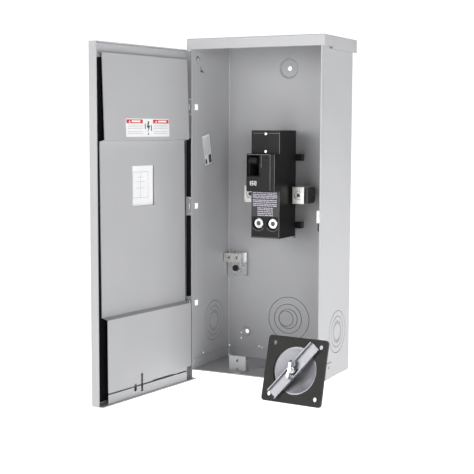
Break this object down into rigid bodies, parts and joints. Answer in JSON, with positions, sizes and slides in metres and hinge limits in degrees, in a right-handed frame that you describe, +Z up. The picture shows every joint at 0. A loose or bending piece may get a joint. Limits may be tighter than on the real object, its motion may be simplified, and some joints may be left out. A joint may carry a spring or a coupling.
{
  "type": "residential load center",
  "caption": "Outdoor metal electrical load center with a hinged door, a stowed inner cover, a main breaker with wire lugs, and a loose hub closing plate.",
  "frame": {"origin": "centre of the upper mounting hole, on the plane of the wall", "axes": "+Z up, -Y out of the wall towards the person who opens the door, +X to that person's right"},
  "size_m": [0.3405, 0.3659, 0.56],
  "materials": {
    "grey_paint": "satin light grey powder coat",
    "label": "printed film label",
    "breaker_print": "dark printed label",
    "black_moulding": "fine textured black moulding",
    "black_insulator": "smooth black insulator",
    "dark_screw": "black oxide",
    "zinc": "bright zinc plate",
    "plated_aluminium": "tin plated extrusion",
    "copper": "bare copper",
    "inner_steel": "plain steel",
    "black_enamel": "satin black enamel",
    "galvanised": "galvanised"
  },
  "bodies": {
    "enclosure": {"arc_chute_left": "inner_steel", "arc_chute_right": "inner_steel", "bottom_endwall": "grey_paint", "box_hinge_lower": "grey_paint", "box_hinge_middle": "grey_paint", "box_hinge_upper": "grey_paint", "breaker_base": "black_moulding", "breaker_cover": "black_moulding", "breaker_cover_screws": "dark_screw", "breaker_label": "breaker_print", "breaker_stand": "black_insulator", "contact_shaft": "inner_steel", "enclosure_wrap": "grey_paint", "fixed_contact_left": "copper", "fixed_contact_right": "copper", "ground_bar": "plated_aluminium", "ground_bracket": "zinc", "ground_screw": "dark_screw", "ground_set_screws": "zinc", "latch_bracket": "grey_paint", "line_lug_left": "plated_aluminium", "line_lug_right": "plated_aluminium", "line_set_screws": "zinc", "load_insulator_left": "black_insulator", "load_insulator_right": "black_insulator", "load_lug_left": "plated_aluminium", "load_lug_right": "plated_aluminium", "load_set_screw_left": "zinc", "load_set_screw_right": "zinc", "load_strap_left": "copper", "load_strap_right": "copper", "mounting_pan": "grey_paint", "neutral_insulator": "black_insulator", "neutral_lug": "plated_aluminium", "neutral_set_screw": "zinc", "padlock_tab": "grey_paint", "top_cap": "grey_paint", "top_endwall": "grey_paint", "trip_unit_left": "inner_steel", "trip_unit_right": "inner_steel", "wall_label": "label"},
    "door": {"door_pan": "grey_paint", "inner_cover": "grey_paint", "cover_label": "label", "wiring_label": "label", "door_hinge_lower": "grey_paint", "door_hinge_middle": "grey_paint", "door_hinge_upper": "grey_paint", "hinge_pin_lower": "zinc", "hinge_pin_middle": "zinc", "hinge_pin_upper": "zinc"},
    "handle": {"breaker_handle": "black_moulding"},
    "contact_arms": {"contact_arm_left": "copper", "contact_arm_right": "copper"},
    "hub_closing_plate": {"hub_plate": "black_enamel", "closing_disc": "galvanised", "closure_bolt": "zinc"},
    "closure_channel": {"closure_bar": "galvanised"},
    "wing_nut": {"wing_nut": "zinc"}
  },
  "joints": [
    {"name": "door_swing", "type": "hinge", "parent": "enclosure", "child": "door", "pos_m": [-0.1189, -0.1293, -0.2284], "axis": [0, 0, 1], "range_deg": [-60, 97.2]},
    {"name": "handle_throw", "type": "hinge", "parent": "enclosure", "child": "handle", "pos_m": [-0.01315, -0.0805, -0.1607], "axis": [1, 0, 0], "range_deg": [0, 34]},
    {"name": "contact_opening", "type": "hinge", "parent": "enclosure", "child": "contact_arms", "pos_m": [0, -0.0505, -0.201], "axis": [1, 0, 0], "range_deg": [0, 20]},
    {"name": "plate_pull", "type": "slide", "parent": "enclosure", "child": "hub_closing_plate", "axis": [0, -1, 0], "range_m": [0, 0.1]},
    {"name": "channel_turn", "type": "hinge", "parent": "hub_closing_plate", "child": "closure_channel", "pos_m": [0.13299, -0.27225, -0.44971], "axis": [0.0589, 0.9628, -0.2639], "continuous": true},
    {"name": "wing_nut_turn", "type": "hinge", "parent": "hub_closing_plate", "child": "wing_nut", "pos_m": [0.13299, -0.27225, -0.44971], "axis": [0.0589, 0.9628, -0.2639], "continuous": true}
  ],
  "couplings": [
    {"joint": "contact_opening", "follows": "handle_throw", "ratio": 0.55}
  ]
}
